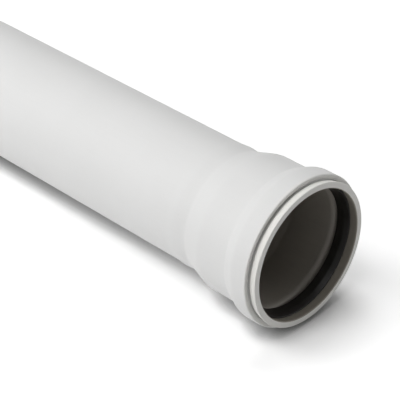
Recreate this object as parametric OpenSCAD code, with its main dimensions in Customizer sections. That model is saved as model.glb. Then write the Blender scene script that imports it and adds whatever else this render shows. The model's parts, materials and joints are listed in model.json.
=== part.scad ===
// Push-fit drain pipe of white polypropylene, with the rubber sealing ring in its socket.
//
// The pipe is one piece. Its plain end is chamfered, and its other end is formed into a socket: a
// shoulder, a bore that takes the next pipe up to a stop, a raised bead round the chamber that holds
// the sealing ring, and a retaining collar at the mouth.
//
// Each section is drawn as [x, y] = [distance behind the mouth, radius], and turned round the axis.
// The pipe lies on a level floor, on its bead and on the rim of its plain end, so its axis dips
// towards the plain end. +X runs from the plain end to the mouth, +Z is up, and the origin is on the
// floor under the middle of the pipe.

/* [Pipe] */
// Outside diameter of the pipe
pipe_d = 110; // [50:1:200]
// Wall of the pipe
pipe_wall = 5.3; // [4:0.1:8]
// Laying length, from the plain end to the stop inside the socket
laying_len = 500; // [250:10:3000]
// Length of the chamfer at the plain end
chamfer_len = 6; // [3:0.5:9]
// Slope of the chamfer, from the axis
chamfer_angle = 15; // [10:1:20]

/* [Socket] */
// Depth of the socket, from its mouth to the stop
socket_depth = 66.5; // [60:0.5:150]
// Gap all round between the next pipe and the bore of the socket
socket_gap = 0.3; // [0.2:0.05:1]
// Wall of the socket
socket_wall = 6.4; // [4:0.1:9]
// Slope of the shoulder between the socket and the pipe, from the axis
shoulder_angle = 18; // [12:1:35]
// Radius that rounds the outside of the shoulder into the socket
shoulder_round = 20; // [5:1:60]
// Radius that rounds the foot of the shoulder into the pipe
foot_round = 14; // [2:1:18]
// Height of the swell that forming the socket leaves on the pipe behind the shoulder
swell_height = 0.7; // [0.1:0.1:1]
// Length of that swell
swell_len = 20; // [10:1:40]
// Distance between the shoulder and that swell
swell_gap = 3; // [2:0.5:8]

/* [Seal chamber] */
// Length of the bead outside, from its front shoulder to the start of its rear slope
bead_len = 16.6; // [12:0.1:30]
// Wall of the bead round the chamber
bead_wall = 5.1; // [3:0.1:8]
// Rounding of the bead's front edge
bead_edge_round = 0.7; // [0.2:0.1:2]
// Slope of the back of the bead, from the axis
bead_slope = 26; // [15:1:40]
// Radius that rounds the bead into its rear slope
bead_back_round = 10; // [2:1:20]
// Depth of the chamber below the bore of the socket
chamber_depth = 6.9; // [6:0.1:10]
// Length of the chamber's floor, which holds the body of the ring
chamber_len = 9; // [8:0.5:14]
// Wall between the bead's front shoulder and the chamber
front_wall = 4.2; // [2:0.1:6]
// Slope of the chamber's rear flank, from the axis
flank_angle = 60; // [45:1:75]

/* [Collar] */
// Length of the collar ahead of the bead
collar_len = 6.9; // [5:0.1:15]
// Gap all round between the next pipe and the mouth
mouth_gap = 2.8; // [2:0.1:3.4]
// Wall of the collar at the mouth
collar_wall = 6; // [3:0.1:7]
// How far the outside of the collar narrows from the mouth to the bead
collar_taper = 1.8; // [0:0.1:2.5]
// How far the inside of the collar widens from the mouth to the chamber
collar_undercut = 1.8; // [0:0.1:2]
// Rounding of the mouth's inner edge, which leads the next pipe in
mouth_round = 1; // [0.2:0.1:2]
// Rounding of the mouth's outer edge and of the plain end
edge_round = 0.6; // [0.2:0.1:1.2]

/* [Sealing ring] */
// Clearance between the ring and the walls of its chamber
ring_gap = 0.2; // [0.1:0.05:0.5]
// Gap between the lip and the pipe that it seals, with that pipe pushed in
lip_gap = 0.05; // [0.05:0.05:0.8]
// How far the free edge of the lip lies behind the front of the chamber
lip_reach = 8.2; // [6:0.2:9]
// Thickness of the lip at its free edge
lip_edge = 1.3; // [0.8:0.1:1.8]
// How far the nose of the ring reaches forward under the collar
nose_len = 2.4; // [1:0.1:3.5]
// Thickness of the nose
nose_wall = 2; // [1.2:0.1:2.2]
// Thickness of the crown, the part of the ring that lies against the floor of the chamber
crown_wall = 2; // [1.2:0.1:2.2]

/* [Hidden] */
$fn = 180;

// The largest turn of one straight piece of a rounded corner, in degrees
ARC_STEP = 7.5;

// Radii, from the pipe outwards
pipe_r = pipe_d / 2;
bore_r = pipe_r - pipe_wall;
tip_r = pipe_r - chamfer_len * tan(chamfer_angle);
socket_bore_r = pipe_r + socket_gap;
socket_r = socket_bore_r + socket_wall;
chamber_r = socket_bore_r + chamber_depth;
bead_r = chamber_r + bead_wall;
mouth_r = pipe_r + mouth_gap;
collar_r = mouth_r + collar_wall;

// Places along the axis, as distances behind the mouth
chamber_front = collar_len + front_wall;
chamber_back = chamber_front + chamber_len;
flank_end = chamber_back + chamber_depth / tan(flank_angle);
bead_end = collar_len + bead_len;
slope_end = bead_end + (bead_r - socket_r) / tan(bead_slope);
shoulder_start = socket_depth - socket_wall * tan(shoulder_angle / 2);
shoulder_end = shoulder_start + (socket_r - pipe_r) / tan(shoulder_angle);
swell_start = shoulder_end + swell_gap;
funnel_end = socket_depth + (socket_bore_r - bore_r) / tan(shoulder_angle);
total_len = socket_depth + laying_len;

// The pipe rests on the back edge of its bead and on the rim where its chamfer starts
rest_span = total_len - chamfer_len - bead_end;
rest_dip = atan2(bead_r - pipe_r, rest_span);
rest_height = bead_r * cos(rest_dip) + bead_end * sin(rest_dip);
rest_shift = (total_len * cos(rest_dip) + (tip_r - collar_r) * sin(rest_dip)) / 2;

function unit(v) = v / norm(v);

// The corner at b, on the way from a to c, as an arc. Its radius is limited to what both edges hold.
function corner(a, b, c, radius) =
    let (
        u = unit(a - b),
        v = unit(c - b),
        half = acos(u * v) / 2,
        reach = min(radius / tan(half), 0.49 * norm(a - b), 0.49 * norm(c - b)),
        r = reach * tan(half),
        centre = b + unit(u + v) * r / sin(half),
        start = b + u * reach - centre,
        sweep = -sign(cross(u, v)) * (180 - 2 * half),
        steps = ceil(abs(sweep) / ARC_STEP)
    )
    [for (i = [0:steps]) let (t = atan2(start.y, start.x) + sweep * i / steps) centre + r * [cos(t), sin(t)]];

// A closed outline through points of [x, y, radius of the corner], where a radius of 0 leaves it sharp
function rounded(points) =
    let (n = len(points), flat = [for (p = points) [p.x, p.y]])
    [for (i = [0:n - 1])
        each points[i].z > 0
            ? corner(flat[(i + n - 1) % n], flat[i], flat[(i + 1) % n], points[i].z)
            : [flat[i]]];

// Radius of the collar's inside, x behind the mouth
function collar_inside(x) = mouth_r + collar_undercut * x / chamber_front;

// Turns a section round the axis, and lays the turned piece on the floor
module turned(section) {
    translate([rest_shift, 0, rest_height])
        rotate([0, -90 - rest_dip, 0])
            rotate_extrude()
                polygon([for (p = section) [p.y, p.x]]);
}

// The pipe's wall: the outside from the mouth to the plain end, then the inside back to the mouth
module pipe() {
    outside_of_socket = [
        [0, mouth_r, mouth_round],
        [0, collar_r, edge_round],
        [collar_len, collar_r - collar_taper, 0],
        [collar_len, bead_r, bead_edge_round],
        [bead_end, bead_r, bead_back_round],
        [slope_end, socket_r, 4],
        [shoulder_start, socket_r, shoulder_round],
        [shoulder_end, pipe_r, foot_round],
    ];
    swell = [for (i = [1:11]) [
        swell_start + swell_len * i / 12,
        pipe_r + swell_height * (1 - cos(360 * i / 12)) / 2,
        0
    ]];
    plain_end = [
        [swell_start + swell_len, pipe_r, 0],
        [total_len - chamfer_len, pipe_r, 0],
        [total_len, tip_r, edge_round],
        [total_len, bore_r, edge_round],
    ];
    inside_of_socket = [
        [funnel_end, bore_r, 8],
        [socket_depth, socket_bore_r, 1],
        [flank_end, socket_bore_r, 2],
        [chamber_back, chamber_r, 1],
        [chamber_front, chamber_r, 1],
        [chamber_front, collar_inside(chamber_front), 0.3],
    ];
    color([0.89, 0.90, 0.89])
        turned(rounded(concat(outside_of_socket, swell, plain_end, inside_of_socket)));
}

// The ring: a crown on the chamber's floor, a nose under the collar, and a lip that slants back and
// inwards to the pipe that it seals. The hollow behind the lip lets it bend and takes the pressure.
module sealing_ring() {
    crown_r = chamber_r - ring_gap;
    crown_front = chamber_front + ring_gap;
    crown_back = chamber_back - ring_gap;
    nose_front = chamber_front - nose_len;
    nose_top = collar_inside(nose_front) - ring_gap;
    nose_r = nose_top - nose_wall;
    lip_end = chamber_front + lip_reach;
    lip_r = pipe_r + lip_gap;
    lip_root_r = nose_r + nose_wall / 2 + lip_edge;
    section = [
        [crown_front, crown_r, 0.5],
        [crown_front, collar_inside(crown_front) - ring_gap, 0],
        [nose_front, nose_top, 0.6],
        [nose_front, nose_r, 1.4],
        [lip_end, lip_r, 0.5],
        [lip_end, lip_r + lip_edge, 0.5],
        [crown_front + crown_wall, lip_root_r, 0.8],
        [crown_back, crown_r - crown_wall, 0.6],
        [crown_back, crown_r, 1],
    ];
    color([0.08, 0.08, 0.08])
        turned(rounded(section));
}

pipe();
sealing_ring();
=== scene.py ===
import json
import math

import bpy
from mathutils import Matrix, Vector


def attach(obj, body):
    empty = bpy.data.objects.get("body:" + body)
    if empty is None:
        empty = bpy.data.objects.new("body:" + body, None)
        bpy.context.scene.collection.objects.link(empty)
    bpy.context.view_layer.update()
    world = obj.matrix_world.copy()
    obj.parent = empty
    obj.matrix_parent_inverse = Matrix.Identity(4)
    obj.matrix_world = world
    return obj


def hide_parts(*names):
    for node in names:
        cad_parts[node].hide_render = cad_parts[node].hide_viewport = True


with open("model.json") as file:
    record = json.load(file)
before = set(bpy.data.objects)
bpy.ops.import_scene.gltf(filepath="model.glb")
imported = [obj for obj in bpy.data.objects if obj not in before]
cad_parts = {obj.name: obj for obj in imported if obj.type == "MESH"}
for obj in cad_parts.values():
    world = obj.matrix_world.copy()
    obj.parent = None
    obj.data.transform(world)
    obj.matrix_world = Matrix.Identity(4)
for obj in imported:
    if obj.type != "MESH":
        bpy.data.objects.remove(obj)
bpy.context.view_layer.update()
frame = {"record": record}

# ----------------------------------------------------------------------------------------------
# The pipe
# One length of white polypropylene. Its inside is a dark warm grey, partly the inner layer's own
# colour and partly painted shade. The plain end is cut and chamfered, and the other end is formed
# hot
# into a socket: a bead round the seal's chamber, and a collar at the mouth with a groove at its
# root.
# It lies on its bead and on the rim of its plain end.
# ----------------------------------------------------------------------------------------------

MM = 0.001

mounts = {mount["name"]: mount for mount in frame["record"]["mounts"]}
pipe_axis = Vector(mounts["socket"]["axis"]).normalized()
in_socket = Vector(mounts["socket"]["pos_m"])
on_mouth_face = Vector(mounts["mouth_face"]["pos_m"])
mouth = in_socket + pipe_axis * (on_mouth_face - in_socket).dot(pipe_axis)
pipe_dip = math.asin(pipe_axis.z)

# Radii in millimetres
PIPE_R = 55.0
BORE_R = 49.7
TIP_R = 53.392
SOCKET_BORE_R = 55.3
SOCKET_R = 61.7
CHAMBER_R = 62.2
BEAD_R = 67.28
BEAD_FOOT_R = 62.7
GROOVE_R = 61.1
GROOVE_END_R = 62.5
COLLAR_BACK_R = 62.35
COLLAR_R = 63.8
MOUTH_R = 57.8

# Distances behind the mouth, in millimetres
MOUTH_FACE = 0.002
COLLAR_BACK = 6.3
GROOVE_START = 6.8
BEAD_START = 6.9
BEAD_FOOT = 8.6
GROOVE_END = 9.5
CHAMBER_FRONT = 11.1
CHAMBER_BACK = 20.1
BEAD_END = 23.5
FLANK_END = 24.084
BEAD_SLOPE_END = 34.982
SHOULDER_START = 65.486
SOCKET_END = 66.5
FUNNEL_END = 83.735
SHOULDER_END = 86.107
SWELL_START = 89.107
CHAMFER_START = 560.5
PIPE_END = 566.5

# The swell behind the shoulder, in millimetres, and the points that draw it
SWELL_LEN = 20.0
SWELL_HEIGHT = 0.7
SWELL_STEPS = 16

# How much wider the collar's inside is at the chamber than at the mouth, in millimetres
COLLAR_UNDERCUT = 1.8


def inside_of_collar(x):
    """Radius of the collar's inside, x millimetres behind the mouth."""
    return MOUTH_R + COLLAR_UNDERCUT * x / CHAMBER_FRONT


# A rounding tighter than this, in millimetres, turns in coarse steps, and a wider one in fine
# steps. No rounding takes more than its share of a side.
TIGHT_ROUND = 2
TIGHT_STEP = math.radians(12)
WIDE_STEP = math.radians(3)
SHARE_OF_SIDE = 0.49


def rounded_corner(before, at, after, radius):
    """A corner of a section as an arc, its radius limited to what both of its sides can hold."""
    to_before, to_after = before - at, after - at
    u, v = to_before.normalized(), to_after.normalized()
    half = u.angle(v) / 2
    room = SHARE_OF_SIDE * min(to_before.length, to_after.length)
    reach = min(radius / math.tan(half), room)
    r = reach * math.tan(half)
    centre = at + (u + v).normalized() * r / math.sin(half)
    start = at + u * reach - centre
    turn = math.copysign(math.pi - 2 * half, -(u.x * v.y - u.y * v.x))
    steps = max(2, math.ceil(abs(turn) / (TIGHT_STEP if r < TIGHT_ROUND else WIDE_STEP)))
    return [centre + Matrix.Rotation(turn * i / steps, 2) @ start for i in range(steps + 1)]


# A side longer than this, in millimetres, gets a point near both of its corners, and others
# between them about this far apart
LONG_SIDE = 2
NEAR_CORNER = 0.4
POINT_SPACING = 12


def section_outline(points):
    """The closed outline of a section through its corners, each a distance behind the mouth, a
    radius and a rounding. They run along the outside first and backwards, so that faces point
    outwards. Long sides get close points beside their corners, which keep the shading flat."""
    flat = [Vector(p[:2]) for p in points]
    outline = []
    for i, p in enumerate(points):
        if p[2] > 0:
            outline += rounded_corner(flat[i - 1], flat[i], flat[(i + 1) % len(flat)], p[2])
        else:
            outline.append(flat[i])
    spaced = []
    for a, b in zip(outline, outline[1:] + outline[:1]):
        length = (b - a).length
        spaced.append(a)
        if length > LONG_SIDE:
            between = length - 2 * NEAR_CORNER
            parts = max(1, round(between / POINT_SPACING))
            stops = [NEAR_CORNER + between * k / parts for k in range(parts + 1)]
            spaced += [a + (b - a) * stop / length for stop in stops]
    return spaced


def section_mesh(name, points, rail_r):
    """The section as a loop of edges, x outwards from the rail and y backwards from the mouth."""
    outline = section_outline(points)
    mesh = bpy.data.meshes.new(name)
    mesh.from_pydata(
        [((p.y - rail_r) * MM, p.x * MM, 0) for p in outline],
        [(i, (i + 1) % len(outline)) for i in range(len(outline))],
        [],
    )
    return mesh


class Tree:
    """A node tree in the making: its nodes, and links written as values of the inputs."""

    def __init__(self, tree):
        self.tree = tree

    def give(self, value, socket):
        """Gives an input a value, or another node's output."""
        if isinstance(value, bpy.types.NodeSocket):
            self.tree.links.new(value, socket)
        else:
            socket.default_value = value

    def node(self, kind, settings=None, **inputs):
        """Adds a node. An input is given by its name, with _ for a space, or as v0, v1 or v2 by its
        place among the inputs in use."""
        node = self.tree.nodes.new(kind)
        for key, value in (settings or {}).items():
            setattr(node, key, value)
        in_use = [socket for socket in node.inputs if socket.enabled]
        for key, value in inputs.items():
            if key[-1].isdigit():
                socket = in_use[int(key[-1])]
            else:
                socket = [s for s in in_use if s.name == key.replace("_", " ")][0]
            self.give(value, socket)
        return node

    def result(self, kind, settings=None, **inputs):
        """Adds a node, and returns the first of its outputs in use."""
        outputs = self.node(kind, settings, **inputs).outputs
        return [socket for socket in outputs if socket.enabled][0]

    def math(self, operation, *values):
        """Works out one to three numbers, and returns the result."""
        given = {f"v{i}": value for i, value in enumerate(values)}
        return self.result("ShaderNodeMath", {"operation": operation}, **given)

    def vector_math(self, operation, *values):
        """Works out one or two vectors, and returns the result."""
        given = {f"v{i}": value for i, value in enumerate(values)}
        return self.result("ShaderNodeVectorMath", {"operation": operation}, **given)

    def mix(self, factor, a, b, blend="MIX"):
        """A colour between two others, or one blended over the other."""
        kind = {"data_type": "RGBA", "blend_type": blend}
        return self.result("ShaderNodeMix", kind, Factor=factor, A=a, B=b)


# A face looks towards the axis when the part of its normal that points outwards is below this
LOOKS_INWARDS = -0.35


def turning_tree():
    """Turns a section round an axis and lays the turned piece in its place."""
    group = bpy.data.node_groups.new("turn_round_axis", "GeometryNodeTree")
    sockets = {}
    for name, kind in (
        ("Section", "NodeSocketGeometry"),
        ("Steps round", "NodeSocketInt"),
        ("Rail radius", "NodeSocketFloat"),
        ("Mouth", "NodeSocketVector"),
        ("Axis", "NodeSocketVector"),
        ("Crease angle", "NodeSocketFloat"),
        ("Inside up to", "NodeSocketFloat"),
        ("Outer material", "NodeSocketMaterial"),
        ("Inner material", "NodeSocketMaterial"),
    ):
        socket = group.interface.new_socket(name, in_out="INPUT", socket_type=kind)
        sockets[name] = socket.identifier
    group.interface.new_socket("Piece", in_out="OUTPUT", socket_type="NodeSocketGeometry")
    t = Tree(group)
    given = group.nodes.new("NodeGroupInput").outputs
    profile = t.result("GeometryNodeMeshToCurve", Mesh=given["Section"])
    rail = t.result(
        "GeometryNodeCurvePrimitiveCircle",
        Resolution=given["Steps round"],
        Radius=given["Rail radius"],
    )
    upright = t.result("GeometryNodeSetCurveNormal", {"mode": "Z_UP"}, Curve=rail)
    swept = t.result("GeometryNodeCurveToMesh", Curve=upright, Profile_Curve=profile)
    # A face belongs to the inside where it looks towards the axis, and lies no further out than
    # the inside goes
    place = t.result("GeometryNodeInputPosition")
    outwards = t.vector_math("MULTIPLY", place, (1, 1, 0))
    facing = t.vector_math(
        "DOT_PRODUCT",
        t.result("GeometryNodeInputNormal"),
        t.vector_math("NORMALIZE", outwards),
    )
    inwards = t.result(
        "FunctionNodeCompare", {"operation": "LESS_THAN"}, A=facing, B=LOOKS_INWARDS
    )
    within = t.result(
        "FunctionNodeCompare",
        {"operation": "LESS_THAN"},
        A=t.vector_math("LENGTH", outwards),
        B=given["Inside up to"],
    )
    inside = t.result("FunctionNodeBooleanMath", {"operation": "AND"}, v0=inwards, v1=within)
    marked = group.nodes.new("GeometryNodeCaptureAttribute")
    marked.domain = "FACE"
    marked.capture_items.new("BOOLEAN", "Inside")
    t.give(swept, marked.inputs["Geometry"])
    t.give(inside, marked.inputs["Inside"])
    # Sharp creases stay sharp, and everything else is shaded smooth
    fold = t.node("GeometryNodeInputMeshEdgeAngle").outputs["Unsigned Angle"]
    sharp = t.result(
        "FunctionNodeCompare", {"operation": "GREATER_THAN"}, A=fold, B=given["Crease angle"]
    )
    smooth = t.result(
        "GeometryNodeSetShadeSmooth",
        {"domain": "FACE"},
        Geometry=marked.outputs["Geometry"],
        Shade_Smooth=True,
    )
    creased = t.result(
        "GeometryNodeSetShadeSmooth",
        {"domain": "EDGE"},
        Geometry=smooth,
        Selection=sharp,
        Shade_Smooth=False,
    )
    turned_to = t.result("FunctionNodeAlignRotationToVector", {"axis": "Z"}, Vector=given["Axis"])
    placed = t.result(
        "GeometryNodeTransform", Geometry=creased, Translation=given["Mouth"], Rotation=turned_to
    )
    real = t.result("GeometryNodeRealizeInstances", Geometry=placed)
    outer = t.result("GeometryNodeSetMaterial", Geometry=real, Material=given["Outer material"])
    inner = t.result(
        "GeometryNodeSetMaterial",
        Geometry=outer,
        Selection=marked.outputs["Inside"],
        Material=given["Inner material"],
    )
    t.give(inner, group.nodes.new("NodeGroupOutput").inputs["Piece"])
    return group, sockets


turn_group, turn_sockets = turning_tree()

# How finely a piece is turned, which folds stay sharp, and how far out its inside can lie, in
# millimetres
STEPS_ROUND = 192
CREASE_ANGLE = math.radians(32)
INSIDE_LIMIT_R = CHAMBER_R + 0.5


def new_object(name, data):
    """An object at the origin, in the scene."""
    made = bpy.data.objects.new(name, data)
    bpy.context.scene.collection.objects.link(made)
    return made


def turned_piece(name, points, rail_r, outer, inner):
    """A piece of this object: its section turned round the pipe's axis, as a plain mesh."""
    section = section_mesh(name + "_section", points, rail_r)
    drawn = new_object(name + "_section", section)
    turning = drawn.modifiers.new("turn", "NODES")
    turning.node_group = turn_group
    for label, value in (
        ("Steps round", STEPS_ROUND),
        ("Rail radius", rail_r * MM),
        ("Mouth", mouth),
        ("Axis", pipe_axis),
        ("Crease angle", CREASE_ANGLE),
        ("Inside up to", INSIDE_LIMIT_R * MM),
        ("Outer material", outer),
        ("Inner material", inner),
    ):
        turning[turn_sockets[label]] = value
    bpy.context.view_layer.update()
    evaluated = drawn.evaluated_get(bpy.context.evaluated_depsgraph_get())
    mesh = bpy.data.meshes.new_from_object(evaluated)
    mesh.name = name
    bpy.data.objects.remove(drawn)
    bpy.data.meshes.remove(section)
    return new_object(name, mesh)


def new_material(name):
    """A material with its tree and its Principled shader."""
    material = bpy.data.materials.new(name)
    material.use_nodes = True
    return material, Tree(material.node_tree), material.node_tree.nodes["Principled BSDF"]


def along_the_pipe(t):
    """Places on the pipe in its own directions: x along its axis from the mouth, y and z across."""
    return t.result(
        "ShaderNodeMapping",
        {"vector_type": "TEXTURE"},
        Vector=t.node("ShaderNodeTexCoord").outputs["Object"],
        Location=mouth,
        Rotation=(0, -pipe_dip, 0),
    )


# Drawing the pipe out of the die stretches its marks along the axis
DRAWN_OUT = (0.02, 1, 1)
CLOUD_SHARE = 0.7
LINE_SHARE = 0.3
SPECK_SHADE = 0.93

# The heat of the forming has turned the collar a little yellow, and the same factor also lightens
# the collar and the mouth face as painted light: it starts at the first distance behind the mouth,
# in millimetres, and is full at the second
HEAT_TINT_AND_PAINTED_LIGHT = (1.045, 1.035, 1.0, 1)
TINT_AND_LIGHT_START = 10.9
TINT_AND_LIGHT_FULL = 4.9

# How far the draw lines make the surface smoother and rougher
SMOOTHER = 0.05
ROUGHER = 0.06


def polypropylene(name, colour, dark, roughness):
    """Extruded polypropylene: faint draw lines along the pipe, a fine matt grain, soft clouds in
    the colour, and a few specks of filler."""
    material, t, shader = new_material(name)
    place = along_the_pipe(t)
    lines = t.result(
        "ShaderNodeTexNoise",
        Vector=t.vector_math("MULTIPLY", place, DRAWN_OUT),
        Scale=700,
        Detail=4,
        Roughness=0.6,
    )
    clouds = t.result("ShaderNodeTexNoise", Vector=place, Scale=14, Detail=3, Roughness=0.5)
    grain = t.result("ShaderNodeTexNoise", Vector=place, Scale=2600, Detail=2, Roughness=0.5)
    shade = t.math("MULTIPLY_ADD", clouds, CLOUD_SHARE, t.math("MULTIPLY", lines, LINE_SHARE))
    lightness = t.result("ShaderNodeMapRange", Value=shade, From_Min=0.3, From_Max=0.7)
    clouded = t.mix(lightness, (*dark, 1), (*colour, 1))
    speck = t.result(
        "ShaderNodeMapRange",
        Value=t.result("ShaderNodeTexVoronoi", Vector=place, Scale=260),
        From_Min=0.05,
        From_Max=0.09,
        To_Min=SPECK_SHADE,
        To_Max=1.0,
    )
    specked = t.mix(1.0, clouded, speck, "MULTIPLY")
    # Yellow tint with painted light on the collar and the mouth face, full towards the mouth
    tinted_and_lightened = t.result(
        "ShaderNodeMapRange",
        {"interpolation_type": "SMOOTHSTEP"},
        Value=t.result("ShaderNodeSeparateXYZ", Vector=place),
        From_Min=-TINT_AND_LIGHT_START * MM,
        From_Max=-TINT_AND_LIGHT_FULL * MM,
    )
    t.give(t.mix(tinted_and_lightened, specked, HEAT_TINT_AND_PAINTED_LIGHT, "MULTIPLY"), shader.inputs["Base Color"])
    gloss = t.result(
        "ShaderNodeMapRange",
        Value=lines,
        From_Min=0.3,
        From_Max=0.7,
        To_Min=roughness - SMOOTHER,
        To_Max=roughness + ROUGHER,
    )
    t.give(gloss, shader.inputs["Roughness"])
    fine = t.result("ShaderNodeBump", Strength=0.12, Distance=0.0002, Height=grain)
    drawn = t.result("ShaderNodeBump", Strength=0.15, Distance=0.0003, Height=lines, Normal=fine)
    t.give(drawn, shader.inputs["Normal"])
    shader.inputs["Specular IOR Level"].default_value = 0.4
    return material


white_layer = polypropylene(
    "white_polypropylene",
    colour=(0.755, 0.755, 0.749),
    dark=(0.725, 0.725, 0.719),
    roughness=0.59,
)
# The inside's dark warm grey is partly the inner layer's own colour and partly painted shade, which
# darkens the pipe's inside as its shade would
grey_inside_with_painted_shade = polypropylene(
    "grey_polypropylene_painted_shade",
    colour=(0.335, 0.311, 0.276),
    dark=(0.287, 0.265, 0.236),
    roughness=0.5,
)

swell = [
    (
        SWELL_START + SWELL_LEN * i / SWELL_STEPS,
        PIPE_R + SWELL_HEIGHT * (1 - math.cos(math.tau * i / SWELL_STEPS)) / 2,
        0,
    )
    for i in range(1, SWELL_STEPS)
]
# Each corner is its distance behind the mouth, its radius and its rounding, in millimetres
pipe_section = [
    (MOUTH_FACE, MOUTH_R, 1.0),
    (MOUTH_FACE, COLLAR_R, 0.6),
    (COLLAR_BACK, COLLAR_BACK_R, 0.35),
    (GROOVE_START, GROOVE_R, 0.2),
    (GROOVE_END, GROOVE_R, 0.2),
    (GROOVE_END, GROOVE_END_R, 0.2),
    (BEAD_FOOT, BEAD_FOOT_R, 0.2),
    (BEAD_START, BEAD_R, 1.2),
    (BEAD_END, BEAD_R, 10),
    (BEAD_SLOPE_END, SOCKET_R, 4),
    (SHOULDER_START, SOCKET_R, 20),
    (SHOULDER_END, PIPE_R, 14),
    *swell,
    (SWELL_START + SWELL_LEN, PIPE_R, 0),
    (CHAMFER_START, PIPE_R, 0),
    (PIPE_END, TIP_R, 0.6),
    (PIPE_END, BORE_R, 0.6),
    (FUNNEL_END, BORE_R, 8),
    (SOCKET_END, SOCKET_BORE_R, 1),
    (FLANK_END, SOCKET_BORE_R, 6.5),
    (CHAMBER_BACK, CHAMBER_R, 1),
    (CHAMBER_FRONT, CHAMBER_R, 1),
    (CHAMBER_FRONT, inside_of_collar(CHAMBER_FRONT), 0.3),
]
pipe = turned_piece("drain_pipe", pipe_section, PIPE_R, white_layer, grey_inside_with_painted_shade)
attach(pipe, "root")
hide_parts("pipe")

# ----------------------------------------------------------------------------------------------
# The sealing ring
# Black rubber, moulded in one. Its crown sits on the floor of the chamber, its nose reaches forward
# under the collar, and its lip slants back and inwards to seal on the next pipe.
# ----------------------------------------------------------------------------------------------

# The room between the ring and its chamber, and the ring's own sizes, in millimetres
RING_GAP = 0.2
CROWN_R = CHAMBER_R - RING_GAP
CROWN_FRONT = CHAMBER_FRONT + RING_GAP
CROWN_BACK = CHAMBER_BACK - RING_GAP
CROWN_WALL = 2.0
NOSE_FRONT = CHAMBER_FRONT - 3.6
NOSE_EDGE = NOSE_FRONT + 0.9
NOSE_TOP = inside_of_collar(NOSE_EDGE) - RING_GAP
NOSE_R = NOSE_TOP - 1.4
THROAT = NOSE_FRONT + 5.0
THROAT_R = NOSE_R - 1.6
LIP_END = CHAMBER_FRONT + 8.2
LIP_R = PIPE_R + 0.05
LIP_EDGE = 1.3
LIP_ROOT_R = 59.3


def rubber(name, colour, dark, smooth, rough):
    """Moulded rubber: a fine matt bloom over a slightly glossy skin, with a fine grain."""
    material, t, shader = new_material(name)
    place = along_the_pipe(t)
    bloom = t.result("ShaderNodeTexNoise", Vector=place, Scale=90, Detail=4, Roughness=0.6)
    grain = t.result("ShaderNodeTexNoise", Vector=place, Scale=1500, Detail=3, Roughness=0.6)
    t.give(t.mix(bloom, (*dark, 1), (*colour, 1)), shader.inputs["Base Color"])
    gloss = t.result(
        "ShaderNodeMapRange",
        Value=bloom,
        From_Min=0.3,
        From_Max=0.7,
        To_Min=smooth,
        To_Max=rough,
    )
    t.give(gloss, shader.inputs["Roughness"])
    skin = t.result("ShaderNodeBump", Strength=0.2, Distance=0.0001, Height=grain)
    t.give(skin, shader.inputs["Normal"])
    shader.inputs["Specular IOR Level"].default_value = 0.22
    return material


black_rubber = rubber(
    "black_rubber",
    colour=(0.017, 0.0155, 0.0138),
    dark=(0.009, 0.0082, 0.0072),
    smooth=0.3,
    rough=0.42,
)
ring_section = [
    (NOSE_FRONT, NOSE_R, 0.5),
    (NOSE_EDGE, NOSE_TOP, 0.2),
    (CROWN_FRONT, inside_of_collar(CROWN_FRONT) - RING_GAP, 0),
    (CROWN_FRONT, CROWN_R, 0.5),
    (CROWN_BACK, CROWN_R, 1),
    (CROWN_BACK, CROWN_R - CROWN_WALL, 0.6),
    (CROWN_FRONT + CROWN_WALL, LIP_ROOT_R, 0.8),
    (LIP_END, LIP_R + LIP_EDGE, 0.5),
    (LIP_END, LIP_R, 0.5),
    (THROAT, THROAT_R, 8),
]
ring = turned_piece("rubber_sealing_ring", ring_section, LIP_R, black_rubber, black_rubber)
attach(ring, "root")
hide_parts("sealing_ring")

# ----------------------------------------------------------------------------------------------
# The studio
# A white paper floor that runs out to a white surround, six soft boxes with a little even fill, and
# the camera, which looks down on the mouth at a slant from its front side.
# ----------------------------------------------------------------------------------------------

WHITE = (1, 1, 1, 1)

# The floor, in metres: a hair below the object, and white from where the boxes no longer reach
FLOOR_HALF = 6
FLOOR_LEVEL = -0.0002
FADE_START = 0.6
FADE_END = 1.2

# The paper as the light meets it and as it is seen, and how near the object its painted contact
# shadow reaches, in metres
PAPER = (0.8, 0.8, 0.8, 1)
PAPER_SEEN = 1.45
PAINTED_SHADOW_REACH = 0.016


def seen_directly(t):
    """1 for rays from the camera and for what gloss and glass show of the surround, 0 for light."""
    path = t.node("ShaderNodeLightPath").outputs
    gloss_or_glass = t.math("MAXIMUM", path["Is Glossy Ray"], path["Is Transmission Ray"])
    return t.math("MAXIMUM", path["Is Camera Ray"], gloss_or_glass)


floor_mesh = bpy.data.meshes.new("studio_floor")
floor_mesh.from_pydata(
    [
        (x * FLOOR_HALF, y * FLOOR_HALF, FLOOR_LEVEL)
        for x, y in ((-1, -1), (1, -1), (1, 1), (-1, 1))
    ],
    [],
    [(0, 1, 2, 3)],
)
floor = new_object("studio_floor", floor_mesh)
floor_white, t, shader = new_material("floor_white")
floor_white.node_tree.nodes.remove(shader)
# Painted shadow: the paper as seen is darkened by its ambient occlusion where the object all but
# touches it
painted_contact_shadow = t.node("ShaderNodeAmbientOcclusion", {"samples": 16}, Distance=PAINTED_SHADOW_REACH)
paper_with_painted_shadow = t.math("MULTIPLY", painted_contact_shadow.outputs["AO"], PAPER_SEEN)
matt = t.result("ShaderNodeBsdfDiffuse", Color=t.mix(seen_directly(t), PAPER, paper_with_painted_shadow))
# Far from the object the floor turns into the white surround
from_middle = t.vector_math("LENGTH", t.node("ShaderNodeTexCoord").outputs["Object"])
far_off = t.result(
    "ShaderNodeMapRange",
    {"interpolation_type": "SMOOTHSTEP"},
    Value=from_middle,
    From_Min=FADE_START,
    From_Max=FADE_END,
)
ground = t.result(
    "ShaderNodeMixShader",
    v0=t.math("MULTIPLY", far_off, seen_directly(t)),
    v1=matt,
    v2=t.result("ShaderNodeEmission", Color=WHITE),
)
t.give(ground, t.tree.nodes["Material Output"].inputs["Surface"])
floor_mesh.materials.append(floor_white)

# The surround is white where it is seen, and gives this much even light
FILL = 0.01

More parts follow.
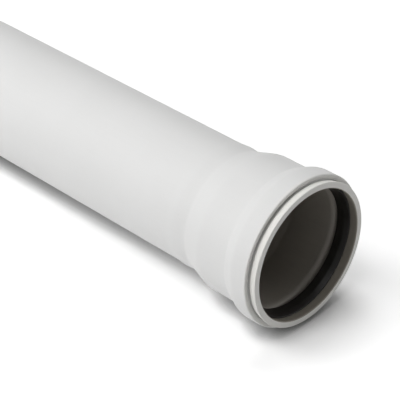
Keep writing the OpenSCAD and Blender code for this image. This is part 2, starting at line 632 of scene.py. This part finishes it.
world = bpy.data.worlds.new("white_surround")
bpy.context.scene.world = world
world.use_nodes = True
t = Tree(world.node_tree)
level = t.result("ShaderNodeMapRange", Value=seen_directly(t), To_Min=FILL, To_Max=1)
background = world.node_tree.nodes["Background"]
t.give(level, background.inputs["Strength"])
background.inputs["Color"].default_value = WHITE

# The soft boxes stand round a place on the axis, this far behind the mouth, in metres
LIT_FROM_MOUTH = 0.13
BOX_DISTANCE = 2.6
BOX_SIZE = 1.4


def direction(azimuth, elevation):
    """From the object towards a place in the studio: azimuth 0 is the front, 90 the mouth's end."""
    a, e = math.radians(azimuth), math.radians(elevation)
    return Vector((math.sin(a) * math.cos(e), -math.cos(a) * math.cos(e), math.sin(e)))


def stand(thing, aim, away, distance):
    """Stands a lamp or the camera at a distance from what it is aimed at."""
    thing.location = aim + away * distance
    thing.rotation_euler = (-away).to_track_quat("-Z", "Y").to_euler()


on_the_pipe = mouth - pipe_axis * LIT_FROM_MOUTH
for name, azimuth, elevation, watts in (
    ("low_left_box", -14, 18, 24),
    ("low_right_box", 135, 18, 10.5),
    ("back_left_box", -45, 45, 16),
    ("front_box", 45, 45, 4),
    ("back_top_box", -135, 70, 23),
    ("top_box", 5, 70, 15),
):
    lamp = bpy.data.lights.new(name, "AREA")
    lamp.shape = "DISK"
    lamp.size = BOX_SIZE
    lamp.energy = watts
    box = new_object(name, lamp)
    stand(box, on_the_pipe, direction(azimuth, elevation), BOX_DISTANCE)
    box.visible_camera = False

CAMERA_AZIMUTH = 44.8015
CAMERA_ELEVATION = 35.2811
CAMERA_DISTANCE = 1.3686
AIM_FROM_MOUTH = Vector((-0.079902, -0.043234, 0.036218))
FOCAL_LENGTH = 154.87
SENSOR_WIDTH = 36

lens = bpy.data.cameras.new("camera")
lens.sensor_width = SENSOR_WIDTH
lens.lens = FOCAL_LENGTH
camera = new_object("camera", lens)
slant = direction(CAMERA_AZIMUTH, CAMERA_ELEVATION)
stand(camera, mouth + AIM_FROM_MOUTH, slant, CAMERA_DISTANCE)
bpy.context.scene.camera = camera
bpy.context.scene.view_settings.view_transform = "Standard"
